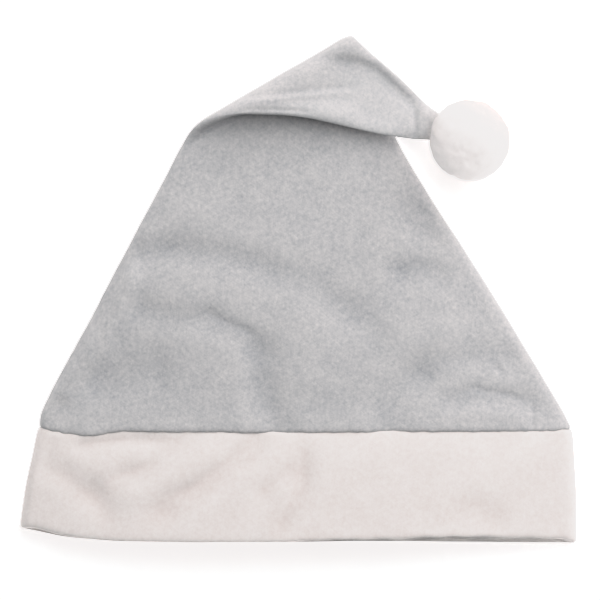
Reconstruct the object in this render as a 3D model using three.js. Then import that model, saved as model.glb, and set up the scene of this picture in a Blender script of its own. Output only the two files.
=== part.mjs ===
// Santa hat of grey felt, lying on its back with its tip folded over to the right.
// The crown is one hollow felt cone, the band a ring of doubled felt round its mouth, and the pompom
// a fleece ball sewn to the tip. Millimetres, +Z up: X runs across the hat, Y from the mouth to the fold.
// The origin is on the surface that the hat lies on, under the middle of its box.
import * as THREE from "three";
import { ParametricGeometry } from "three/addons/geometries/ParametricGeometry.js";
import { mergeVertices } from "three/addons/utils/BufferGeometryUtils.js";

const { clamp, lerp } = THREE.MathUtils;

// Cloth
const CROWN_FELT = 1.8;
const BAND_FELT = 3.0; // a strip folded double
const SEAM_GAP = 0.4; // between the crown's lower edge and the band's upper one
const BAND_EDGE = 3.2; // height at which the band's front and back meet along a side edge
const EDGE_ROUND = 6.5; // width over which a side edge rounds off
const EDGE_SOLID = 3.4; // turned-in cloth inside a side edge
const EDGE_HOLLOW = 0.6; // least rise of the front's inside over the side edge
const LENS_POWER = 2.4; // how full the front stands between the side edges
const DENT_SHARE = 0.7; // the most of the hollow that a dent takes

// Fold of the tip: the line where the cloth starts to turn, and the radius of its outer side
const FOLD_FROM = new THREE.Vector2(-67.0, 74.4);
const FOLD_ANGLE = THREE.MathUtils.degToRad(30);
const FOLD_RADIUS = 9.5;

// Pompom
const POMPOM_CENTRE = new THREE.Vector3(93.6, 82.0, 21.4);
const POMPOM_RADIUS = 21.5;
const POMPOM_DETAIL = 9;
const POMPOM_TUFTS = 90;
const TUFT_RISE = 0.9;
// Gathered spot: the way to it from the centre, its dimple, and the pleats round it
const GATHER_TOWARDS = new THREE.Vector3(-3.6, -10.5, 19.0);
const GATHER = { depth: 1.6, reach: 8.0, pleats: 7, pleat: 0.5 };
// Pocket round the crown's tip: half sizes of its floor, its gap to the cloth, and how far its rim laps
// over the cloth
const POCKET = { across: 9.6, high: 6.4, gap: 0.5, lap: 5.0, spread: 0.6 };

// Mesh
const FRONT_STEPS = 44;
const BACK_STEPS = 12;
const INSIDE_SKIP = 2; // the crown's inside takes every second section
const INSIDE_SPREAD = 5.0; // how much wider a dent is on the inside of the felt
const FRONT_CROWDING = 0.6; // how much the steps across crowd towards the side edges
const BACK_CROWDING = 1.0;
const WAVE_REACH = 28.0; // how far the seam's waves run up the crown
const CREASE_SAMPLES = 14;

// The crown laid out flat, a row for each section from the seam to the tip. left and right are the ends
// of the section, rows the steps to the next one, edge the height of the ends and thick that of the middle;
// pinch is the rise of the back and bulge its swell, less than 0 where it sags in. Past the fold, lift is
// the section's height over the folded cloth and lean how much higher its left end is.
const CROWN_SECTIONS = [
  { at: "seam", left: [-141.8, -76.5], right: [149.8, -76.5], rows: 2,
    edge: 3.2, thick: 15.4, pinch: 0.5, bulge: 0, lift: 0, lean: 0 },
  { at: "roll", left: [-141.6, -69.0], right: [146.9, -69.0], rows: 10,
    edge: 3.2, thick: 16.0, pinch: 0, bulge: 0, lift: 0, lean: 0 },
  { at: "body", left: [-113.7, -14.5], right: [102.2, 5.5], rows: 9,
    edge: 3.2, thick: 14.4, pinch: 0, bulge: 0, lift: 0, lean: 0 },
  { at: "shoulder", left: [-85.5, 39.4], right: [55.9, 80.3], rows: 5,
    edge: 3.0, thick: 9.8, pinch: 0, bulge: 0, lift: 0, lean: 0 },
  { at: "fold start", left: [-67.0, 74.4], right: [33.0, 132.2], rows: 4,
    edge: 2.4, thick: 6.0, pinch: 0, bulge: 0, lift: 0, lean: 0 },
  { at: "crest", left: [-58.9, 96.4], right: [26.2, 145.4], rows: 4,
    edge: 2.2, thick: 5.6, pinch: 0, bulge: 0, lift: 0, lean: 2.0 },
  { at: "fold end", left: [-44.0, 122.2], right: [20.6, 159.4], rows: 3,
    edge: 2.2, thick: 6.0, pinch: 0, bulge: 0, lift: 0.3, lean: 4.5 },
  { at: "flap", left: [-29.5, 150.8], right: [18.0, 173.5], rows: 4,
    edge: 2.4, thick: 6.8, pinch: 0, bulge: -1.0, lift: -1.2, lean: 5.0 },
  { at: "point", left: [-16.9, 190.0], right: [14.8, 190.0], rows: 3,
    edge: 2.6, thick: 6.8, pinch: 0, bulge: -1.2, lift: -4.2, lean: 3.5 },
  { at: "tuck", left: [-9.3, 209.0], right: [11.2, 202.9], rows: 3,
    edge: 2.8, thick: 6.8, pinch: 0, bulge: -0.4, lift: -4.2, lean: 1.0 },
  { at: "tip", left: [-3.7, 219.5], right: [9.4, 214.7], rows: 0,
    edge: 3.0, thick: 7.2, pinch: 0, bulge: 0, lift: -3.6, lean: 0 },
];

// The band, a row for each section from the seam to the hem. share is the way down the band.
const BAND_SECTIONS = [
  { at: "seam", share: 0.0, left: -142.6, right: 150.2, thick: 15.8, pinch: 0.5 },
  { at: "roll", share: 0.1, left: -144.4, right: 151.4, thick: 16.8, pinch: 0 },
  { at: "middle", share: 0.5, left: -149.4, right: 152.8, thick: 18.4, pinch: 0 },
  { at: "hem", share: 1.0, left: -153.2, right: 153.2, thick: 19.6, pinch: 0 },
];

// Way round the band's wall: share is the way down from the seam, depth the way in through the felt.
const BAND_WALL = [
  { share: 0.006, depth: 0.0 },
  { share: 0.1, depth: 0.0 },
  { share: 0.25, depth: 0.0 },
  { share: 0.4, depth: 0.0 },
  { share: 0.55, depth: 0.0 },
  { share: 0.7, depth: 0.0 },
  { share: 0.85, depth: 0.0 },
  { share: 0.97, depth: 0.0 },
  { share: 1.0, depth: 0.3 },
  { share: 1.0, depth: 0.7 },
  { share: 0.97, depth: 1.0 },
  { share: 0.7, depth: 1.0 },
  { share: 0.4, depth: 1.0 },
  { share: 0.1, depth: 1.0 },
  { share: 0.006, depth: 1.0 },
];

// Seam line between crown and band, and hem line of the band: a level with rises along X
const SEAM_LEVEL = -76.5;
const SEAM_RISES = [
  { x: -146, reach: 9, rise: 1.6 },
  { x: -116, reach: 14, rise: -2.4 },
  { x: -10, reach: 40, rise: -0.6 },
  { x: 152, reach: 10, rise: 1.0 },
];
const HEM_LEVEL = -137.6;
const HEM_RISES = [
  { x: -160, reach: 30, rise: 7.4 },
  { x: 170, reach: 90, rise: -1.2 },
];
// How far the front of the hem stops short of the back
const HEM_SHORT = [
  { x: -150, reach: 40, rise: 1.6 },
  { x: 110, reach: 75, rise: 2.4 },
];

// Dents in the crown's front, the flap's upper side and the band's front. Each runs along a curve from
// one end past its bend to the other; width is its spread and sink its depth, less than 0 where it swells.
const CROWN_DENTS = [
  { of: "upper crease", from: [-90, 21], bend: [-55, 20], to: [-17, 11], width: 8, sink: 2.0 },
  { of: "upper crease end", from: [-2, 6], bend: [17, -4], to: [45, -25], width: 10, sink: 1.3 },
  { of: "arch start", from: [-86, -10], bend: [-66, -15], to: [-50, -17], width: 6.5, sink: 1.1 },
  { of: "arch crease", from: [-52, -14], bend: [-37, -21], to: [-24, -29], width: 6, sink: 1.3 },
  { of: "arch foot", from: [-22, -34], bend: [-22, -49], to: [-12, -76], width: 8, sink: 2.0 },
  { of: "left edge hollow", from: [-93, 18], bend: [-111, -18], to: [-130, -50], width: 6.5, sink: 2.6 },
  { of: "left edge ridge", from: [-92, 8], bend: [-104, -20], to: [-128, -53], width: 5, sink: -2.4 },
  { of: "left low dent", from: [-108, -51], bend: [-95, -49], to: [-80, -45], width: 12.5, sink: 2.4 },
  { of: "right upper dent", from: [62, 40], bend: [65, 38], to: [71, 32], width: 9, sink: 1.7 },
  { of: "right middle dent", from: [58, 8], bend: [70, 11], to: [76, 8], width: 6.5, sink: 1.5 },
  { of: "right slant", from: [54, 10], bend: [43, -5], to: [27, -13], width: 10, sink: 1.1 },
  { of: "right arch foot", from: [49, -76], bend: [53, -59], to: [67, -46], width: 8, sink: 1.4 },
  { of: "right arch", from: [67, -46], bend: [85, -37], to: [116, -39], width: 8, sink: 1.3 },
  { of: "right low crease", from: [83, -61], bend: [99, -57], to: [127, -62], width: 5.5, sink: 1.4 },
  { of: "right low swell", from: [83, -68], bend: [103, -67], to: [124, -69], width: 5.5, sink: -0.6 },
  { of: "upper left swell", from: [-65, 38], bend: [-58, 40], to: [-49, 40], width: 14.5, sink: -1.2 },
  { of: "left swell", from: [-80, 1], bend: [-73, 0], to: [-62, -4], width: 13.5, sink: -1.0 },
  { of: "middle swell", from: [-2, -22], bend: [4, -32], to: [6, -44], width: 15.5, sink: -1.2 },
  { of: "right swell", from: [57, -27], bend: [66, -25], to: [77, -24], width: 13.5, sink: -1.0 },
];
const FLAP_DENTS = [
  { of: "peak hollow", from: [14, 126], bend: [38, 121], to: [58, 106], width: 7, sink: 1.5 },
  { of: "tip tuck", from: [64, 101], bend: [66, 93], to: [65, 84], width: 2.4, sink: 0.9 },
];
const BAND_DENTS = [
  { of: "left slant", from: [-137, -95], bend: [-122, -105], to: [-106, -120], width: 5.5, sink: 1.6 },
  { of: "second slant", from: [-110, -110], bend: [-91, -101], to: [-73, -95], width: 5.5, sink: 1.4 },
  { of: "top arch", from: [-126, -88], bend: [-97, -83], to: [-60, -86], width: 4.5, sink: 1.2 },
  { of: "third slant", from: [-75, -119], bend: [-52, -107], to: [-23, -85], width: 6, sink: 1.7 },
  { of: "fourth slant", from: [-20, -116], bend: [-11, -106], to: [-1, -98], width: 5, sink: 1.0 },
  { of: "fifth slant", from: [-22, -136], bend: [-5, -120], to: [4, -90], width: 5, sink: 1.6 },
  { of: "right hollow", from: [93, -120], bend: [100, -122], to: [107, -126], width: 8, sink: 1.0 },
  { of: "slant swell", from: [-93, -113], bend: [-71, -102], to: [-52, -92], width: 6, sink: -0.9 },
];

// Cubic curve through a table's column at row k, the share f of the way to the next row.
function columnAt(table, column, k, f) {
  const value = (i) => table[clamp(i, 0, table.length - 1)][column];
  const [before, here, next, after] = [value(k - 1), value(k), value(k + 1), value(k + 2)];
  const slopeHere = (next - before) / 2;
  const slopeNext = (after - here) / 2;
  const bend = 2 * here - 2 * next + slopeHere + slopeNext;
  return here + f * (slopeHere + f * (3 * (next - here) - 2 * slopeHere - slopeNext + f * bend));
}

// Level with the rises of a table at x.
function waveAt(level, rises, x) {
  const riseOf = ({ x: middle, reach, rise }) => rise * Math.exp(-(((x - middle) / reach) ** 2));
  return rises.reduce((sum, part) => sum + riseOf(part), level);
}

// Dents with their curves sampled once, so that the distance to each is quick to find.
function dentCurves(table) {
  return table.map(({ from, bend, to, width, sink }) => {
    const ends = [from, bend, to].map((p) => new THREE.Vector2(...p));
    ends[1].multiplyScalar(2).sub(ends[0].clone().add(ends[2]).multiplyScalar(0.5));
    return { points: new THREE.QuadraticBezierCurve(...ends).getPoints(CREASE_SAMPLES), width, sink };
  });
}

function dentAt(dents, plan, spread) {
  return dents.reduce((sum, { points, width, sink }) => {
    const away = Math.min(...points.map((p) => p.distanceTo(plan)));
    return sum + sink * Math.exp(-((away / (width + spread)) ** 2));
  }, 0);
}

// Steps round a section: over the front from the right edge to the left one, and back along the back.
const ROUND_STEPS = FRONT_STEPS + BACK_STEPS;
function stepRound(i) {
  const front = i <= FRONT_STEPS;
  const even = front ? 1 - (2 * i) / FRONT_STEPS : (2 * (i - FRONT_STEPS)) / BACK_STEPS - 1;
  const crowding = front ? FRONT_CROWDING : BACK_CROWDING;
  return { front, across: lerp(even, Math.sin((even * Math.PI) / 2), crowding) };
}

// Height over the back's resting face of a point in one felt sheet, inset below the sheet's outer face.
// across runs from -1 to 1 between the side edges, and gap is the way to the nearer one.
function sheetHeight({ front, across, gap, inset, felt, edge, thick, pinch, bulge }) {
  const round = Math.sqrt(1 - (1 - clamp(gap / EDGE_ROUND, 0, 1)) ** 2);
  const lens = 1 - Math.abs(across) ** LENS_POWER;
  const frontRise = felt + EDGE_HOLLOW;
  const swell = thick - edge - frontRise;
  const height = front
    ? edge + (frontRise - inset) * round + swell * lens
    : edge - (edge - inset - pinch) * round - bulge * lens;
  const hollow = EDGE_HOLLOW + edge - felt + (swell + bulge) * lens;
  return { height, dentRoom: DENT_SHARE * hollow * round * round };
}

// A point of the flat cloth, height above its back, carried round the fold.
const ALONG_FOLD = new THREE.Vector2(Math.cos(FOLD_ANGLE), Math.sin(FOLD_ANGLE));
const OVER_FOLD = new THREE.Vector2(-ALONG_FOLD.y, ALONG_FOLD.x);
function foldOver(flat, height) {
  const from = flat.clone().sub(FOLD_FROM);
  const along = from.dot(ALONG_FOLD);
  const past = from.dot(OVER_FOLD);
  const turn = clamp(past / FOLD_RADIUS, 0, Math.PI);
  const arm = FOLD_RADIUS - height;
  const straight = past <= 0 ? past : -Math.max(past - Math.PI * FOLD_RADIUS, 0);
  const over = straight + arm * Math.sin(turn);
  const plan = FOLD_FROM.clone().addScaledVector(ALONG_FOLD, along).addScaledVector(OVER_FOLD, over);
  return new THREE.Vector3(plan.x, plan.y, FOLD_RADIUS - arm * Math.cos(turn));
}

// Closed body through rings of points: each ring runs round a section, and rings that shrink to a point
// or return to the first one close the body.
function skin(rings) {
  const steps = rings[0].length - 1;
  const stacks = rings.length - 1;
  const pick = (u, v, target) => target.copy(rings[Math.round(v * stacks)][Math.round(u * steps)]);
  return closedBody(new ParametricGeometry(pick, steps, stacks));
}

// The geometry with its shared corners merged and the triangles that collapsed left out.
function closedBody(geometry) {
  geometry.deleteAttribute("normal");
  geometry.deleteAttribute("uv");
  const merged = mergeVertices(geometry, 1e-3);
  const corners = merged.index.array;
  const kept = [];
  for (let i = 0; i < corners.length; i += 3) {
    const [a, b, c] = corners.slice(i, i + 3);
    if (a !== b && b !== c && c !== a) kept.push(a, b, c);
  }
  merged.setIndex(kept);
  merged.computeVertexNormals();
  return merged;
}

// The crown's sections at every row, from the seam to the tip.
function crownRows() {
  const vectors = (side) => CROWN_SECTIONS.map((s) => new THREE.Vector3(...s[side], 0));
  const leftEdge = new THREE.CatmullRomCurve3(vectors("left"));
  const rightEdge = new THREE.CatmullRomCurve3(vectors("right"));
  const rows = [];
  CROWN_SECTIONS.forEach((section, k) => {
    const steps = Math.max(section.rows, 1);
    for (let step = 0; step < steps; step += 1) {
      const f = step / steps;
      const way = (k + f) / (CROWN_SECTIONS.length - 1);
      const row = { left: leftEdge.getPoint(way), right: rightEdge.getPoint(way) };
      for (const column of ["edge", "thick", "pinch", "bulge", "lift", "lean"]) {
        row[column] = columnAt(CROWN_SECTIONS, column, k, f);
      }
      row.pinch = Math.max(row.pinch, 0);
      rows.push(row);
    }
  });
  return rows;
}

// One ring of the crown at a row, inset into the felt. shrink draws it in to close the tip.
function crownRing(row, inset, frontDents, flapDents, shrink = 1) {
  const half = row.left.distanceTo(row.right) / 2;
  const loopHalf = half - (EDGE_SOLID * inset) / CROWN_FELT;
  const ring = [];
  for (let i = 0; i <= ROUND_STEPS; i += 1) {
    const { front, across } = stepRound(i);
    const gap = loopHalf * (1 - Math.abs(across));
    const { height, dentRoom } = sheetHeight({ front, across, gap, inset, felt: CROWN_FELT, ...row });
    const middle = row.thick / 2;
    const toRight = (1 + (shrink * across * loopHalf) / half) / 2;
    const place = row.left.clone().lerp(row.right, toRight);
    const flat = new THREE.Vector2(place.x, place.y);
    const fade = clamp(1 - (flat.y - SEAM_LEVEL) / WAVE_REACH, 0, 1);
    flat.y += fade * fade * (waveAt(0, SEAM_RISES, flat.x) + SEAM_GAP / 2);
    const rough = foldOver(flat, height);
    const plan = new THREE.Vector2(rough.x, rough.y);
    const past = flat.clone().sub(FOLD_FROM).dot(OVER_FOLD);
    const onBody = front && past < 0;
    const onFlap = !front && past > (FOLD_RADIUS * Math.PI) / 2;
    const spread = (INSIDE_SPREAD * inset) / CROWN_FELT;
    const sink = onBody ? dentAt(frontDents, plan, spread) : 0;
    const flapSink = onFlap ? dentAt(flapDents, plan, spread) : 0;
    const dented = height + clamp(flapSink - sink, -dentRoom, dentRoom);
    const point = foldOver(flat, lerp(middle, dented, shrink));
    const carried = clamp(past / (FOLD_RADIUS * Math.PI), 0, 1);
    point.z += carried * (row.lift + row.lean * (1 - toRight));
    ring.push(point);
  }
  return ring;
}

function makeCrown() {
  const rows = crownRows();
  const frontDents = dentCurves(CROWN_DENTS);
  const flapDents = dentCurves(FLAP_DENTS);
  const ring = (row, inset, shrink) => crownRing(row, inset, frontDents, flapDents, shrink);
  const last = rows.length - 1;
  const outside = rows.map((row) => ring(row, 0));
  const hollowRows = rows.filter((row, i) => i % INSIDE_SKIP === 0 && i < last);
  const inside = hollowRows.map((row) => ring(row, CROWN_FELT));
  const outsideEnd = ring(rows[last], 0, 0);
  const insideEnd = ring(hollowRows.at(-1), CROWN_FELT, 0);
  return skin([outsideEnd, ...outside.reverse(), ...inside, insideEnd]);
}

// The band's section at a share of the way from the seam to the hem.
function bandSection(share) {
  const k = clamp(BAND_SECTIONS.findIndex((s) => s.share > share) - 1, 0, BAND_SECTIONS.length - 2);
  const [here, next] = [BAND_SECTIONS[k], BAND_SECTIONS[k + 1]];
  const f = share >= 1 ? 1 : (share - here.share) / (next.share - here.share);
  const row = share >= 1 ? BAND_SECTIONS.length - 2 : k;
  const at = (column) => columnAt(BAND_SECTIONS, column, row, f);
  const pinch = Math.max(at("pinch"), 0);
  return { left: at("left"), right: at("right"), edge: BAND_EDGE, thick: at("thick"), pinch, bulge: 0 };
}

function bandRing({ share, depth }, dents) {
  const section = bandSection(share);
  const inset = depth * BAND_FELT;
  const half = (section.right - section.left) / 2;
  const loopHalf = half - (EDGE_SOLID * inset) / BAND_FELT;
  const ring = [];
  for (let i = 0; i <= ROUND_STEPS; i += 1) {
    const { front, across } = stepRound(i);
    const wide = (across * loopHalf) / half;
    const gap = loopHalf * (1 - Math.abs(across));
    const { height, dentRoom } = sheetHeight({ front, across, gap, inset, felt: BAND_FELT, ...section });
    const x = lerp(section.left, section.right, (1 + wide) / 2);
    const short = front ? waveAt(0, HEM_SHORT, x) * clamp(gap / EDGE_ROUND, 0, 1) : 0;
    const seam = waveAt(SEAM_LEVEL, SEAM_RISES, x) - SEAM_GAP / 2;
    const y = lerp(seam, waveAt(HEM_LEVEL, HEM_RISES, x) + short, share);
    const sink = dentAt(dents, new THREE.Vector2(x, y), INSIDE_SPREAD * depth);
    const dent = front ? Math.min(sink, dentRoom) : 0;
    ring.push(new THREE.Vector3(x, y, height - dent));
  }
  return ring;
}

function makeBand() {
  const dents = dentCurves(BAND_DENTS);
  const rings = BAND_WALL.map((way) => bandRing(way, dents));
  return skin([...rings, rings[0]]);
}

// Directions spread evenly over a ball, one for each tuft.
function tuftDirections(count) {
  const golden = Math.PI * (3 - Math.sqrt(5));
  return Array.from({ length: count }, (_, i) => {
    const z = 1 - (2 * (i + 0.5)) / count;
    const flat = Math.sqrt(1 - z * z);
    return new THREE.Vector3(flat * Math.cos(golden * i), flat * Math.sin(golden * i), z);
  });
}

// Radius of the pompom in a direction: tufts side by side and a gathered dimple.
function pompomRadius(direction, tufts) {
  const nearest = Math.min(...tufts.map((t) => t.angleTo(direction)));
  const tuftReach = 2 / Math.sqrt(POMPOM_TUFTS);
  const tuft = TUFT_RISE * (1 - clamp(nearest / tuftReach, 0, 1) ** 2);
  const toGather = direction.angleTo(GATHER_TOWARDS) * POMPOM_RADIUS;
  const turn = Math.atan2(direction.y - GATHER_TOWARDS.y / POMPOM_RADIUS, direction.x);
  const fade = Math.exp(-((toGather / GATHER.reach) ** 2));
  return POMPOM_RADIUS + tuft - fade * (GATHER.depth + GATHER.pleat * Math.cos(GATHER.pleats * turn));
}

// Middle of the crown's closed tip, with the ways across it and out of it.
function tipEnd() {
  const tip = crownRows().at(-1);
  const folded = (end) => foldOver(new THREE.Vector2(end.x, end.y), tip.thick / 2);
  const [left, right] = [folded(tip.left), folded(tip.right)];
  const middle = left.clone().lerp(right, 0.5);
  middle.z += tip.lift + tip.lean / 2;
  const across = right.clone().sub(left).normalize();
  const out = across.clone().cross(new THREE.Vector3(0, 0, 1));
  return { middle, across, out };
}

// A point of the pompom, pushed out of the way of the tip that is sewn into it.
function pressIn(point, { middle, across, out }) {
  const from = point.clone().sub(middle);
  const reach = Math.hypot(from.dot(across) / POCKET.across, from.z / POCKET.high);
  const floor = lerp(POCKET.gap, -POCKET.lap, clamp((reach - 1) / POCKET.spread, 0, 1));
  const short = floor - from.dot(out);
  return reach < 1 + POCKET.spread && short > 0 ? point.addScaledVector(out, short) : point;
}

function makePompom() {
  const ball = new THREE.IcosahedronGeometry(1, POMPOM_DETAIL);
  const tufts = tuftDirections(POMPOM_TUFTS);
  const tip = tipEnd();
  const places = ball.getAttribute("position");
  const point = new THREE.Vector3();
  for (let i = 0; i < places.count; i += 1) {
    point.fromBufferAttribute(places, i).normalize();
    point.multiplyScalar(pompomRadius(point, tufts)).add(POMPOM_CENTRE);
    pressIn(point, tip);
    places.setXYZ(i, point.x, point.y, Math.max(point.z, 0));
  }
  return closedBody(ball);
}

function felt(colour) {
  return new THREE.MeshStandardMaterial({ color: colour, roughness: 0.95, metalness: 0 });
}

function named(name, geometry, material) {
  const mesh = new THREE.Mesh(geometry, material);
  mesh.name = name;
  return mesh;
}

const hat = new THREE.Group();
hat.add(named("crown", makeCrown(), felt(0xbdbdbf)));
hat.add(named("band", makeBand(), felt(0xe4dcd9)));
hat.add(named("pompom", makePompom(), felt(0xf0edeb)));

export default hat;
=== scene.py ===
import math

import bmesh
import bpy
import numpy as np
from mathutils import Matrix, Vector, noise
from mathutils.bvhtree import BVHTree


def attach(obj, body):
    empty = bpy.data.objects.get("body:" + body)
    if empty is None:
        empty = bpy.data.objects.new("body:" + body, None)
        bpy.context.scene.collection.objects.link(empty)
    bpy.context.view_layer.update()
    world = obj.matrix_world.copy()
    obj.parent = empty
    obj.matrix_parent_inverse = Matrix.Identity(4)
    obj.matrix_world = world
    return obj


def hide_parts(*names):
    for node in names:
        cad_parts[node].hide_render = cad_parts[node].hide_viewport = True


# Santa hat of light grey needle felt with a white felt band and a white fleece pompom. It lies on its back,
# with the tip folded over to the right. Metres, in the frame of the solids: X runs across the hat, Y from
# its mouth to the fold, and Z up.

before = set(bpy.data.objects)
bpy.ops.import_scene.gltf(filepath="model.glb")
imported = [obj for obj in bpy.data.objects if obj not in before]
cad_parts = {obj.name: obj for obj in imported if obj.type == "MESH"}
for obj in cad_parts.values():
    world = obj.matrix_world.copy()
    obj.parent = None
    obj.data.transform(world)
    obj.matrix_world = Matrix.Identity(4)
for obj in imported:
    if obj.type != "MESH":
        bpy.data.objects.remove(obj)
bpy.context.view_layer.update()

MM = 0.001

# Picture: 330 mm of the surface, seen from straight above through a long lens
PICTURE_WIDTH = 330 * MM
AIM = Vector((1.1, -5.2, 5.0)) * MM
LENS_MM = 240.0
SENSOR_MM = 36.0
FARTHEST_SEEN = 20  # metres from the camera

# Meshes: times each cloth is subdivided, rounds that put its corners back, and the angle under which
# triangles are joined to four-sided faces
CLOTH_LEVELS = 2
CAGE_ROUNDS = 3
FLAT_JOIN = math.radians(60)
SAME_PLACE = 0.001 * MM  # corners closer than this are merged
CLEAR_ABOVE = 0.3 * MM  # how far above a corner the look upwards starts

# Seeds of each unevenness, and how far from one seed's start in the noise the next one lies
SEEDS = {"crown": 1, "band": 11, "pompom": 21, "pucker": 4, "wander": 6, "hem": 8, "growth": 9}
SEED_STRIDE = Vector((7.3, 3.1, 5.7))

# Seam between crown and band: its level along Y, with rises along X
SEAM_LEVEL = -76.5 * MM
SEAM_RISES = (
    {"x": -146 * MM, "reach": 9 * MM, "rise": 1.6 * MM},
    {"x": -116 * MM, "reach": 14 * MM, "rise": -2.4 * MM},
    {"x": -10 * MM, "reach": 40 * MM, "rise": -0.6 * MM},
    {"x": 152 * MM, "reach": 10 * MM, "rise": 1.0 * MM},
)
SEAM_DRAW = 0.35 * MM  # how far the stitches draw each edge to the other
SEAM_REACH = 2.5 * MM
SEAM_LAP = 1.0 * MM  # how far the crown's edge stands up, and the band's sinks, where the crown laps over
LAP_REACH = 9 * MM
PUCKER_HEIGHT = 0.4 * MM
PUCKER_LENGTH = 6 * MM
PUCKER_REACH = 5 * MM
SEAM_WANDER = 0.6 * MM  # how far the seam wanders to either side between stitches
WANDER_LENGTH = 4 * MM

# Hem of the band's front, drawn up to show the back: where along X, how far, how high up the band this
# reaches, and the even and uneven shares of it
HEM_DRAWN = {"from": -5 * MM, "to": 156 * MM, "up": 1.9 * MM, "reach": 7 * MM, "even": 0.8, "uneven": 0.5}
NOTCH_LENGTH = 9 * MM

# Unevenness of each cloth: size of the swells and their height, in millimetres
CROWN_SWELLS = ((26, 0.3), (9, 0.08), (3.5, 0.05))
BAND_SWELLS = ((22, 0.3), (8, 0.1), (3.5, 0.04))
POMPOM_SWELLS = ((10, 0.5), (4, 0.35))

# Fine creases, in millimetres: each one's spread, its depth, less than 0 for a ridge, the step up to the
# cloth on its left, seen the way it runs, and the points that it runs through
CROWN_CREASES = {
    "lip ridge": {
        "spread": 1.6, "depth": -0.3, "step": -0.6,
        "through": ((-42, 101.5), (-31, 104), (-14, 105.3), (0, 107), (15, 108.6), (34, 109.6))},
    "lip roll": {
        "spread": 1.3, "depth": 0.7, "step": 0,
        "through": ((-38, 97.5), (-26, 98.8), (-12, 98.5), (0, 98), (10, 97))},
    "lip strip": {
        "spread": 6, "depth": -1.4, "step": 0,
        "through": ((-44, 97), (-20, 100), (0, 99.5), (18, 98), (36, 95))},
    "peak ramp": {
        "spread": 11, "depth": -2.0, "step": 0,
        "through": ((15, 135), (32, 133), (50, 123), (66, 106))},
    "peak crease": {
        "spread": 2.6, "depth": 0.35, "step": 0.5,
        "through": ((10, 130), (21, 127), (33, 126), (44, 121.5), (53, 113), (60, 106.5), (65, 100))},
    "tip tuck": {
        "spread": 1.3, "depth": 1.0, "step": 0,
        "through": ((65, 101), (63.5, 94), (64.5, 88), (62.5, 83))},
    "tip end": {
        "spread": 4, "depth": -0.9, "step": -0.4,
        "through": ((70, 104), (68, 92), (66.5, 80))},
    "arch fold": {
        "spread": 1.8, "depth": 0.75, "step": 0,
        "through": ((-52, -10), (-44, -15), (-36, -19), (-28, -22), (-22, -26))},
    "edge turn": {
        "spread": 5.5, "depth": 0, "step": 2.2,
        "through": ((-84, 42), (-100, 9.4), (-113, -15), (-126, -38.5), (-137, -60))},
    "right low fold": {
        "spread": 1.6, "depth": 0.8, "step": 0,
        "through": ((85, -57), (96, -53.5), (104, -55.5), (116, -57), (126, -61.5))},
    "corner fold": {
        "spread": 1.2, "depth": 0.9, "step": 0,
        "through": ((129.5, -61), (129, -69), (128.5, -77))},
    "right nick": {
        "spread": 1.6, "depth": 0.9, "step": 0,
        "through": ((107, -42.5), (110, -43.5), (113, -44.5))},
    "upper right nick": {
        "spread": 2.2, "depth": 0.5, "step": 0,
        "through": ((65, 44), (69, 43.5), (73, 42.5))},
    "right spot": {
        "spread": 2.4, "depth": 0.4, "step": 0,
        "through": ((62, 14.5), (67, 14), (73, 13))},
}
BAND_CREASES = {
    "left slant": {
        "spread": 2.4, "depth": -0.15, "step": 0,
        "through": ((-137, -94), (-122, -102), (-109, -112))},
    "second slant": {
        "spread": 2.4, "depth": 0.6, "step": 0,
        "through": ((-105, -104.5), (-91.5, -98.5), (-74, -93.5))},
    "top arch": {
        "spread": 2.2, "depth": 0.54, "step": 0,
        "through": ((-122, -85), (-96, -82), (-62, -83))},
    "top knot": {
        "spread": 1.4, "depth": 0.48, "step": 0,
        "through": ((-124, -84), (-121, -87), (-117, -85))},
    "third slant": {
        "spread": 2.6, "depth": 0.72, "step": 0,
        "through": ((-76, -114), (-58, -108), (-43, -97), (-26, -83))},
    "side slant": {
        "spread": 2.0, "depth": 0.54, "step": 0,
        "through": ((-34, -98), (-25.5, -93.5), (-16, -85))},
    "fourth slant": {
        "spread": 2.2, "depth": 0.54, "step": 0,
        "through": ((-24, -113), (-12.5, -104.5), (-1.5, -93.5))},
    "fifth slant": {
        "spread": 2.2, "depth": 0.54, "step": 0.3,
        "through": ((-16, -135), (-6, -120), (0, -108), (4, -88))},
    "right mark": {
        "spread": 1.6, "depth": 0.36, "step": 0,
        "through": ((146, -96), (149, -99))},
}
CREASE_STATIONS = 60  # places along a crease
CREASE_REACH = 4  # spreads to either side that a crease is worked out for
CREASE_FADE = 3  # how late a crease fades out towards its ends

# Painted shade in the creases, and painted light on ridges where it falls below 0: rounds that make the level
# they are measured from, the depth that takes the full shade, and the least and the most of it
CREASE_ROUNDS = 90
CREASE_DEPTH = 1.0 * MM
CREASE_LIMITS = (-0.4, 1.0)

# Painted light on the turned-over tip, which lies higher and catches more light: the heights between which it
# comes in, and the ways in from the fold and from the tip's right edge over which it grows, with a point and
# the slope of each
FLAP_LIGHT_HEIGHTS = (10.5 * MM, 13 * MM)
FLAP_LIGHT_FROM_FOLD = (0 * MM, 18 * MM)
FOLD_FROM = np.array((-67.0, 74.4)) * MM
FOLD_ANGLE = math.radians(30)
FLAP_LIGHT_FROM_EDGE = (1 * MM, 10 * MM)
EDGE_FROM = np.array((36.0, 138.0)) * MM
EDGE_ANGLE = math.radians(43)

# Gathered spot on the pompom's upper side: its place, and its pleats in millimetres
GATHER_AT = (88.8, 73.2)
GATHER_PLEATS = 7
PLEAT_ENDS = (1.0, 4.5, 9.0)
PLEAT = {"spread": 1.1, "depth": 0.45, "step": 0}

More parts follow.
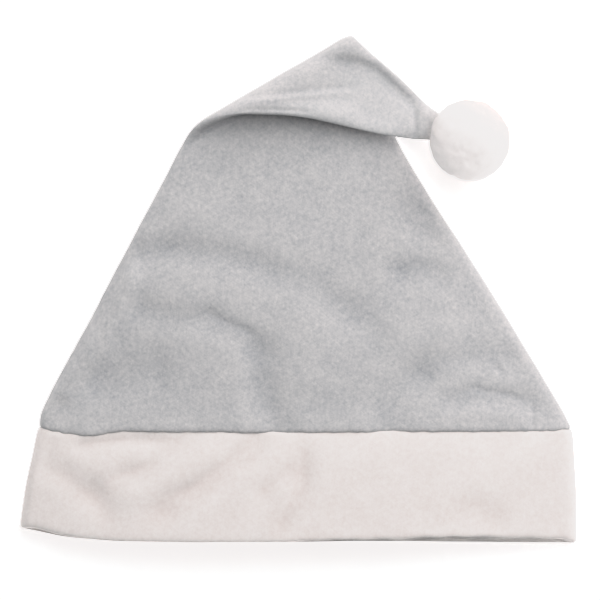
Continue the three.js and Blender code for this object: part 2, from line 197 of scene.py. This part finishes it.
# Pompom pile: how far the ball lies below the solid's skin, and the fibres, with their leans in radians. They
# are drawn about four times as thick as real ones, so that they show.
PILE_DEPTH = 0.2 * MM
TUFT_ROUNDS = 10  # smoothing rounds that soften the tufts
REST_HEIGHT = 0.5 * MM  # below this the pompom rests on the floor
PILE = {
    "Fibres per square metre": 1.2e6,
    "Fibre length": 1.8 * MM,
    "Fibre radius": 0.04 * MM,
    "Least lean": 0.2,
    "Most lean": 1.2,
    "Lowest root": 2.2 * MM,
    "Seed": 3,
}
FIBRE_SIDES = 3
FIBRE_GROWTH = (0.7, 1.1)  # shortest and longest fibre, as shares of the length

# Cloth: the ways that its fibres lie, in degrees, how many times as long as thick a tuft of them is, their
# share of the tangle, half the span from the dark tone to the light one, and how much of the light soaks in
FIBRE_WAYS = (25, 80, 140)
FIBRE_STRETCH = 6
FIBRE_SHARE = 0.3
TONE_REACH = 0.45
SOAK_SHARE = 0.5
FLEECE_TONES = ("F1E8E5", "FAF2EF")

# Studio, in metres: half the floor's width and its glow, the light all round, and the lamps
FLOOR_REACH = 3
FLOOR_GLOW = 0.98
ROOM_LIGHT = 0.12
LAMPS = (
    {"name": "softbox", "across": 4.2, "watts": 112, "at": (0.75, 1.22, 1.8), "aim": (0, 0, 0)},
    {"name": "lit_table", "across": 1.2, "watts": 8.2, "at": (0.33, 0.1, -2 * MM), "aim": (0.33, 0.1, 0)},
)

# Camera: light and how light it is shown, what shows as white, and the tint of the tones past the first
CAMERA_RESPONSE = ((0.6, 0.6), (0.8, 0.76), (1.0, 0.84), (1.6, 0.9))
CAMERA_WHITE = 1.75
BRIGHT_TINT = (1.015, 0.992, 0.988)


def linear(hex_colour):
    """An sRGB hex colour as linear RGBA."""
    parts = [int(hex_colour[i:i + 2], 16) / 255 for i in (0, 2, 4)]
    return (*[p / 12.92 if p <= 0.04045 else ((p + 0.055) / 1.055) ** 2.4 for p in parts], 1.0)


def add_node(tree, kind, values=None, **settings):
    """A new node with its settings, and its inputs set to values or linked to other nodes' outputs. An input
    goes by its number where the node has several of one name."""
    made = tree.nodes.new(kind)
    for name, value in settings.items():
        setattr(made, name, value)
    for socket, value in (values or {}).items():
        if isinstance(value, bpy.types.NodeSocket):
            tree.links.new(value, made.inputs[socket])
        else:
            made.inputs[socket].default_value = value
    return made


def per_metre(size_mm):
    """Texture scale for features of that size."""
    return 1.0 / (size_mm * MM)


def matted_cloth(name, dark, light, grain_mm, cloud_mm, fibre_mm, cloud_share, crease_shade_share, bump_mm,
                 flap_light_share=0, soak_mm=0):
    """Matt cloth of tangled fibres: a fine grain, streaks of fibres and cloudy patches, with painted shade in
    its creases and painted light on its ridges. The last two are how much paler the turned-over tip is
    painted, as painted light, and how far light soaks in."""
    made = bpy.data.materials.new(name)
    made.use_nodes = True
    tree = made.node_tree
    tree.nodes.clear()
    place = add_node(tree, "ShaderNodeTexCoord").outputs["Object"]
    tangle = add_node(tree, "ShaderNodeTexNoise", {
        "Vector": place, "Scale": per_metre(grain_mm), "Detail": 3.0, "Roughness": 0.65}).outputs["Fac"]
    thick = fibre_mm * MM
    for way in FIBRE_WAYS:
        laid = add_node(tree, "ShaderNodeMapping", {
            "Vector": place, "Rotation": (0, 0, math.radians(way)),
            "Scale": (FIBRE_STRETCH * thick, thick, thick)}, vector_type="TEXTURE").outputs["Vector"]
        streak = add_node(tree, "ShaderNodeTexNoise", {
            "Vector": laid, "Scale": 1.0, "Detail": 1.0}).outputs["Fac"]
        tangle = add_node(tree, "ShaderNodeMath", {
            0: streak, 1: FIBRE_SHARE, 2: tangle}, operation="MULTIPLY_ADD").outputs[0]
    cloud = add_node(tree, "ShaderNodeTexNoise", {
        "Vector": place, "Scale": per_metre(cloud_mm), "Detail": 2.0, "Roughness": 0.5}).outputs["Fac"]
    clouded = add_node(tree, "ShaderNodeMath", {
        0: cloud, 1: cloud_share, 2: tangle}, operation="MULTIPLY_ADD").outputs[0]
    # Painted shade: the crease attribute darkens the cloth in its hollows and, below 0, lightens it on ridges
    # as painted light
    crease = add_node(tree, "ShaderNodeAttribute", attribute_name="crease").outputs["Fac"]
    crease_shaded = add_node(tree, "ShaderNodeMath", {
        0: crease, 1: -crease_shade_share, 2: clouded}, operation="MULTIPLY_ADD").outputs[0]
    middle = 0.5 * (1 + len(FIBRE_WAYS) * FIBRE_SHARE + cloud_share)
    tone = add_node(tree, "ShaderNodeMapRange", {
        "Value": crease_shaded, 1: middle - TONE_REACH, 2: middle + TONE_REACH}).outputs["Result"]
    dyed = add_node(tree, "ShaderNodeMix", {
        0: tone, 6: linear(dark), 7: linear(light)}, data_type="RGBA").outputs[2]
    # Painted light: the turned-over tip, which faces the light more, is mixed towards white
    flap_painted_light = add_node(tree, "ShaderNodeAttribute", attribute_name="flap_painted_light").outputs["Fac"]
    turned = add_node(tree, "ShaderNodeMath", {0: flap_painted_light, 1: flap_light_share}, operation="MULTIPLY").outputs[0]
    colour = add_node(tree, "ShaderNodeMix", {
        0: turned, 6: dyed, 7: linear("FFFFFF")}, data_type="RGBA").outputs[2]
    bump = add_node(tree, "ShaderNodeBump", {"Height": tangle, "Strength": 0.5, "Distance": bump_mm * MM})
    shader = add_node(tree, "ShaderNodeBsdfPrincipled", {
        "Base Color": colour, "Roughness": 0.95, "Specular IOR Level": 0.12,
        "Sheen Weight": 0.1, "Sheen Roughness": 0.5, "Normal": bump.outputs["Normal"],
        "Subsurface Weight": SOAK_SHARE if soak_mm else 0.0, "Subsurface Radius": (1, 1, 1),
        "Subsurface Scale": soak_mm * MM})
    add_node(tree, "ShaderNodeOutputMaterial", {"Surface": shader.outputs["BSDF"]})
    return made


# Polyester felt, needle-punched and dyed light grey: dead matt and mottled, with paler and darker fibres side
# by side. A fibre is about 0.02 mm thick, too fine to show, so here and below tufts of them are drawn.
# Painted shade in its creases, and painted light on its turned-over tip
grey_felt = matted_cloth(
    "needle_punched_grey_felt", "9A9A9E", "D0CCCB", grain_mm=2.2, cloud_mm=13, fibre_mm=0.8,
    cloud_share=0.35, crease_shade_share=0.15, bump_mm=0.22, flap_light_share=0.16)
# Polyester felt, brushed: a closer, smoother face than the grey one, warm white.
# Painted shade in its creases
white_felt = matted_cloth(
    "brushed_white_felt", "D9CECA", "EDE7E4", grain_mm=2.6, cloud_mm=16, fibre_mm=0.8,
    cloud_share=0.5, crease_shade_share=0.3, bump_mm=0.06)
# Polyester fleece, knitted, with a short sheared pile: soft warm white, with light soaking in between the
# fibres. The first is the ground that the pile stands on.
# Painted shade in the ground's creases and pleats
fleece_ground = matted_cloth(
    "knitted_white_fleece_ground", *FLEECE_TONES, grain_mm=2.0, cloud_mm=9, fibre_mm=0.6,
    cloud_share=0.4, crease_shade_share=0.4, bump_mm=0.1, soak_mm=150)
fleece_pile = matted_cloth(
    "sheared_white_fleece_pile", *FLEECE_TONES, grain_mm=2.0, cloud_mm=9, fibre_mm=0.6,
    cloud_share=0.4, crease_shade_share=0.0, bump_mm=0.05, soak_mm=150)


def corners(mesh):
    """Places of a mesh's corners."""
    places = np.empty(len(mesh.vertices) * 3)
    mesh.vertices.foreach_get("co", places)
    return places.reshape(-1, 3)


def facings(mesh):
    """Ways that a mesh's corners face."""
    directions = np.empty(len(mesh.vertices) * 3)
    mesh.vertex_normals.foreach_get("vector", directions)
    return directions.reshape(-1, 3)


def holder_of(mesh, name):
    """An object in the scene that holds a mesh."""
    holder = bpy.data.objects.new(name, mesh)
    bpy.context.scene.collection.objects.link(holder)
    return holder


def evaluated_mesh(holder):
    """What an object's modifiers make of it, as a plain mesh; the object is removed."""
    mesh = bpy.data.meshes.new_from_object(holder.evaluated_get(bpy.context.evaluated_depsgraph_get()))
    bpy.data.objects.remove(holder)
    return mesh


def smoothed(rough):
    """A mesh subdivided; the rough mesh's own corners stay first in it."""
    holder = holder_of(rough, "rough")
    smooth = holder.modifiers.new("smooth", "SUBSURF")
    smooth.levels = smooth.render_levels = CLOTH_LEVELS
    return evaluated_mesh(holder)


def cloth_of(node):
    """A CAD solid's mesh made smooth, with the solid's corners where they were."""
    work = bmesh.new()
    work.from_mesh(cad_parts[node].data)
    bmesh.ops.remove_doubles(work, verts=work.verts, dist=SAME_PLACE)
    bmesh.ops.join_triangles(
        work, faces=work.faces, angle_face_threshold=FLAT_JOIN, angle_shape_threshold=FLAT_JOIN)
    rough = bpy.data.meshes.new(node + "_rough")
    work.to_mesh(rough)
    work.free()
    solid = corners(rough)
    cage = solid.copy()
    for _ in range(CAGE_ROUNDS):  # subdividing draws the cloth in, so its corners are pushed out by as much
        rough.vertices.foreach_set("co", cage.ravel())
        mesh = smoothed(rough)
        cage += solid - corners(mesh)[:len(solid)]
    return mesh


def swells(places, size_mm, seed):
    """Unevenness of cloth at each place, from about -1 to 1."""
    start = SEED_STRIDE * seed
    return np.array([noise.noise(Vector(p) / (size_mm * MM) + start) for p in places])


def swells_across(places, length, seed):
    """Unevenness that runs along X alone."""
    along = np.column_stack((places[:, 0], np.zeros((len(places), 2))))
    return swells(along, length / MM, seed)


def uneven(mesh, sizes, seed):
    """Corners of a mesh moved in and out by swells of several sizes, and none of them through the floor."""
    places = corners(mesh)
    moved = places.copy()
    for k, (size_mm, height_mm) in enumerate(sizes):
        moved += facings(mesh) * (height_mm * MM * swells(places, size_mm, seed + k))[:, None]
    moved[:, 2] = np.maximum(moved[:, 2], np.minimum(places[:, 2], 0.0))
    return moved


def open_above(mesh, places):
    """Which corners have none of the same cloth above them."""
    cloth = BVHTree.FromPolygons([Vector(p) for p in places], [tuple(f.vertices) for f in mesh.polygons])
    up = Vector((0, 0, 1))
    return np.array([cloth.ray_cast(Vector(p) + CLEAR_ABOVE * up, up)[0] is None for p in places])


def hump(away, reach):
    """1 at a line, and less the farther away from it."""
    return np.exp(-(away / reach) ** 2)


def seam_level(x):
    """Level of the seam along Y, at places along X."""
    return SEAM_LEVEL + sum(row["rise"] * hump(x - row["x"], row["reach"]) for row in SEAM_RISES)


def draw_seam(places, side, upper):
    """Edges at the seam drawn together, lapped and puckered by the stitches. side is 1 on the crown and -1
    on the band."""
    away = side * (places[:, 1] - seam_level(places[:, 0]))
    places[:, 1] -= side * SEAM_DRAW * hump(away, SEAM_REACH)
    wander = SEAM_WANDER * swells_across(places, WANDER_LENGTH, SEEDS["wander"])
    places[:, 1] += wander * hump(away, SEAM_REACH)
    pucker = PUCKER_HEIGHT * swells_across(places, PUCKER_LENGTH, SEEDS["pucker"])
    lap = side * SEAM_LAP * hump(away, LAP_REACH)
    places[:, 2] += upper * (pucker * hump(away, PUCKER_REACH) + lap)


def draw_hem(places, upper):
    """The front's lower edge drawn up unevenly along the right half of the hem."""
    x, y, _ = places.T
    share = np.clip((x - HEM_DRAWN["from"]) / (HEM_DRAWN["to"] - HEM_DRAWN["from"]), 0, 1)
    notches = swells_across(places, NOTCH_LENGTH, SEEDS["hem"])
    rise = np.sqrt(np.sin(math.pi * share)) * (HEM_DRAWN["even"] + HEM_DRAWN["uneven"] * notches)
    places[:, 1] += upper * HEM_DRAWN["up"] * rise * hump(y - y.min(), HEM_DRAWN["reach"])


def press_creases(places, creases, upper):
    """The upper side of a cloth pressed in or stepped along its fine creases, which fade out at the ends."""
    plan = places[:, :2]
    ways = np.linspace(0, 1, CREASE_STATIONS)
    for crease in creases:
        marks = np.array(crease["through"]) * MM
        spread = crease["spread"] * MM
        stations = np.linspace(0, 1, len(marks))
        line = np.column_stack([np.interp(ways, stations, marks[:, k]) for k in (0, 1)])
        runs = np.gradient(line, axis=0)
        lowest = line.min(axis=0) - CREASE_REACH * spread
        highest = line.max(axis=0) + CREASE_REACH * spread
        near = np.flatnonzero(upper & (plan > lowest).all(axis=1) & (plan < highest).all(axis=1))
        apart = plan[near, None] - line[None]
        closest = np.linalg.norm(apart, axis=2).argmin(axis=1)
        off = apart[np.arange(len(near)), closest]
        run = runs[closest]
        side = np.sign(run[:, 0] * off[:, 1] - run[:, 1] * off[:, 0])
        away = side * np.linalg.norm(off, axis=1) / spread
        fade = 1 - np.abs(2 * ways[closest] - 1) ** CREASE_FADE
        groove = crease["depth"] * hump(away, 1)
        step = crease["step"] * away * np.exp((1 - away ** 2) / 2)
        places[near, 2] += MM * fade * (step - groove)


def levelled(mesh, places, rounds):
    """Corners drawn to the middle of their neighbours a number of times."""
    ends = np.empty(len(mesh.edges) * 2, dtype=np.int64)
    mesh.edges.foreach_get("vertices", ends)
    a, b = ends.reshape(-1, 2).T
    count = len(places)
    neighbours = np.bincount(a, minlength=count) + np.bincount(b, minlength=count)
    level = places.copy()
    for _ in range(rounds):
        total = np.column_stack([
            np.bincount(a, level[b, k], count) + np.bincount(b, level[a, k], count) for k in range(3)])
        level = (level + total / neighbours[:, None]) / 2
    return level


def crease_shade(mesh, places):
    """Painted shade and, on ridges, painted light: how far each corner lies below the cloth round it, as a
    share of the depth with the full shade.
    """
    below = ((levelled(mesh, places, CREASE_ROUNDS) - places) * facings(mesh)).sum(axis=1)
    return np.clip(below / CREASE_DEPTH, *CREASE_LIMITS)


def flap_light_weights(places):
    """1 on the upper side of the turned-over tip, which is painted paler there as painted light, and 0
    elsewhere.
    """
    past_fold = (places[:, :2] - FOLD_FROM) @ (math.sin(FOLD_ANGLE), -math.cos(FOLD_ANGLE))
    inside_edge = (EDGE_FROM - places[:, :2]) @ (math.sin(EDGE_ANGLE), math.cos(EDGE_ANGLE))
    turned = np.interp(places[:, 2], FLAP_LIGHT_HEIGHTS, (0, 1))
    turned *= np.interp(past_fold, FLAP_LIGHT_FROM_FOLD, (0, 1))
    turned *= np.interp(inside_edge, FLAP_LIGHT_FROM_EDGE, (0, 1))
    return turned * (places[:, 1] > FOLD_FROM[1])


def finish_cloth(mesh, name, places, material):
    """The mesh with its corners at places, with smooth faces, its painted shade and painted light, and a
    material, as a piece.
    """
    mesh.name = name
    mesh.vertices.foreach_set("co", places.ravel())
    mesh.update()
    # Painted shade in the creases and painted light on the turned-over tip, kept on the corners for the
    # material
    for shade, values in (("crease", crease_shade(mesh, places)), ("flap_painted_light", flap_light_weights(places))):
        mesh.attributes.new(shade, "FLOAT", "POINT").data.foreach_set("value", values)
    mesh.materials.clear()
    mesh.materials.append(material)
    mesh.polygons.foreach_set("use_smooth", [True] * len(mesh.polygons))
    return holder_of(mesh, name)


def felt_crown():
    """The grey cone, with its folds and its edge at the seam."""
    mesh = cloth_of("crown")
    places = uneven(mesh, CROWN_SWELLS, SEEDS["crown"])
    upper = open_above(mesh, places)
    press_creases(places, CROWN_CREASES.values(), upper)
    draw_seam(places, 1, upper)
    return finish_cloth(mesh, "felt_crown", places, grey_felt)


def felt_band():
    """The white band, with its slanting creases, its edge at the seam and its hem."""
    mesh = cloth_of("band")
    places = uneven(mesh, BAND_SWELLS, SEEDS["band"])
    upper = open_above(mesh, places)
    press_creases(places, BAND_CREASES.values(), upper)
    draw_seam(places, -1, upper)
    draw_hem(places, upper)
    return finish_cloth(mesh, "felt_band", places, white_felt)


def pleats():
    """Creases that run out all round from the pompom's gathered spot."""
    rows = []
    for turn in np.linspace(0, 2 * math.pi, GATHER_PLEATS, endpoint=False):
        way = (math.cos(turn), math.sin(turn))
        rows.append({**PLEAT, "through": [np.add(GATHER_AT, np.multiply(end, way)) for end in PLEAT_ENDS]})
    return rows


def fleece_ball():
    """The pompom's ball, below the pile that stands on it."""
    mesh = cloth_of("pompom")
    tufted = uneven(mesh, POMPOM_SWELLS, SEEDS["pompom"]) - facings(mesh) * PILE_DEPTH
    places = levelled(mesh, tufted, TUFT_ROUNDS)
    press_creases(places, pleats(), open_above(mesh, places))
    resting = corners(mesh)[:, 2] < REST_HEIGHT
    places[resting, 2] = 0
    return finish_cloth(mesh, "fleece_ball", places, fleece_ground)


def standing_fibres():
    """Geometry nodes that stand slim three-sided fibres on a cloth, each leaning its own way."""
    tree = bpy.data.node_groups.new("standing_fibres", "GeometryNodeTree")
    tree.interface.new_socket("Cloth", in_out="INPUT", socket_type="NodeSocketGeometry")
    for label, size in PILE.items():
        kind = "NodeSocketInt" if isinstance(size, int) else "NodeSocketFloat"
        tree.interface.new_socket(label, in_out="INPUT", socket_type=kind)
    tree.interface.new_socket("Fibre material", in_out="INPUT", socket_type="NodeSocketMaterial")
    tree.interface.new_socket("Pile", in_out="OUTPUT", socket_type="NodeSocketGeometry")
    given = add_node(tree, "NodeGroupInput").outputs
    place = add_node(tree, "GeometryNodeInputPosition").outputs[0]
    height = add_node(tree, "ShaderNodeSeparateXYZ", {"Vector": place}).outputs["Z"]
    clear = add_node(tree, "FunctionNodeCompare", {
        "A": height, "B": given["Lowest root"]}, data_type="FLOAT", operation="GREATER_THAN")
    roots = add_node(tree, "GeometryNodeDistributePointsOnFaces", {
        "Mesh": given["Cloth"], "Selection": clear.outputs[0],
        "Density": given["Fibres per square metre"], "Seed": given["Seed"]})
    fibre = add_node(tree, "GeometryNodeMeshCone", {
        "Vertices": FIBRE_SIDES, "Side Segments": 1, "Radius Top": 0.0,
        "Radius Bottom": given["Fibre radius"], "Depth": given["Fibre length"]},
        fill_type="NONE").outputs["Mesh"]
    upright = add_node(tree, "FunctionNodeAlignRotationToVector", {
        "Vector": roots.outputs["Normal"]}, axis="Z").outputs["Rotation"]
    least = add_node(tree, "ShaderNodeCombineXYZ", {
        "X": given["Least lean"], "Z": -math.pi}).outputs["Vector"]
    most = add_node(tree, "ShaderNodeCombineXYZ", {
        "X": given["Most lean"], "Z": math.pi}).outputs["Vector"]
    lean = add_node(tree, "FunctionNodeRandomValue", {
        0: least, 1: most, "Seed": given["Seed"]}, data_type="FLOAT_VECTOR").outputs[0]
    leaning = add_node(tree, "FunctionNodeRotateRotation", {
        "Rotation": upright, "Rotate By": lean}, rotation_space="LOCAL").outputs["Rotation"]
    shortest, longest = FIBRE_GROWTH
    growth = add_node(tree, "FunctionNodeRandomValue", {
        2: shortest, 3: longest, "Seed": SEEDS["growth"]}, data_type="FLOAT").outputs[1]
    stood = add_node(tree, "GeometryNodeInstanceOnPoints", {
        "Points": roots.outputs["Points"], "Instance": fibre, "Rotation": leaning,
        "Scale": growth}).outputs["Instances"]
    real = add_node(tree, "GeometryNodeRealizeInstances", {"Geometry": stood}).outputs["Geometry"]
    covered = add_node(tree, "GeometryNodeSetMaterial", {
        "Geometry": real, "Material": given["Fibre material"]}).outputs["Geometry"]
    add_node(tree, "NodeGroupOutput", {"Pile": covered})
    return tree


def pile_on(cloth, name, tree, sizes, material):
    """The fibres that a tree stands on a cloth piece, as a piece of their own."""
    holder = holder_of(cloth.data.copy(), name)
    grow = holder.modifiers.new("grow", "NODES")
    grow.node_group = tree
    sockets = {s.name: s.identifier for s in tree.interface.items_tree if s.in_out == "INPUT"}
    for label, value in {**sizes, "Fibre material": material}.items():
        grow[sockets[label]] = value
    mesh = evaluated_mesh(holder)
    mesh.name = name
    return holder_of(mesh, name)


crown = felt_crown()
band = felt_band()
ball = fleece_ball()
pile = pile_on(ball, "fleece_pile", standing_fibres(), PILE, fleece_pile)

for piece, node, slot in (
        (crown, "crown", "grey_felt"), (band, "band", "white_felt"), (ball, "pompom", "white_fleece")):
    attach(piece, "root")
    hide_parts(node)
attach(pile, "root")

# Floor of white paper, uncoated: matt and evenly white, with a glow of its own. It lets the light of the lit
# table below it through, which stands for what such paper throws back on the hat.
white_paper = bpy.data.materials.new("uncoated_white_paper")
white_paper.use_nodes = True
paper = white_paper.node_tree.nodes["Principled BSDF"].inputs
paper["Base Color"].default_value = linear("F6F6F6")
paper["Roughness"].default_value = 0.9
paper["Emission Color"].default_value = linear("FFFFFF")
paper["Emission Strength"].default_value = FLOOR_GLOW
floor_mesh = bpy.data.meshes.new("floor")
floor_ends = [(x * FLOOR_REACH, y * FLOOR_REACH, 0) for x, y in ((-1, -1), (1, -1), (1, 1), (-1, 1))]
floor_mesh.from_pydata(floor_ends, [], [(0, 1, 2, 3)])
floor_mesh.materials.append(white_paper)
floor = holder_of(floor_mesh, "floor")
floor.visible_diffuse = floor.visible_shadow = False

# Light: a dim even room, a large softbox high up beyond the fold at the right, and the lit table
studio = bpy.data.worlds.new("studio")
studio.use_nodes = True
room = studio.node_tree.nodes["Background"].inputs
room["Color"].default_value = linear("FAFCFF")
room["Strength"].default_value = ROOM_LIGHT
bpy.context.scene.world = studio
for row in LAMPS:
    light = bpy.data.lights.new(row["name"], "AREA")
    light.shape = "DISK"
    light.size = row["across"]
    light.energy = row["watts"]
    lamp = bpy.data.objects.new(row["name"], light)
    lamp.location = row["at"]
    lamp.rotation_euler = (Vector(row["aim"]) - lamp.location).to_track_quat("-Z", "Y").to_euler()
    bpy.context.scene.collection.objects.link(lamp)

# Camera, looking straight down
lens = bpy.data.cameras.new("camera")
lens.lens = LENS_MM
lens.sensor_width = SENSOR_MM
lens.clip_end = FARTHEST_SEEN
camera = bpy.data.objects.new("camera", lens)
camera.location = AIM + Vector((0, 0, PICTURE_WIDTH * LENS_MM / SENSOR_MM))
bpy.context.scene.collection.objects.link(camera)
bpy.context.scene.camera = camera

# The camera is true up to the light greys and softens towards white.
view = bpy.context.scene.view_settings
view.view_transform = "Standard"
view.use_curve_mapping = True
view.curve_mapping.clip_max_x = CAMERA_WHITE
true_up_to = CAMERA_RESPONSE[0][0]
for curve, tint in zip(view.curve_mapping.curves, BRIGHT_TINT):
    curve.points[-1].location = (CAMERA_WHITE, 1.0)
    for lit, shown in CAMERA_RESPONSE:
        point = curve.points.new(lit, shown * (tint if lit > true_up_to else 1))
        point.handle_type = "AUTO_CLAMPED"
view.curve_mapping.update()
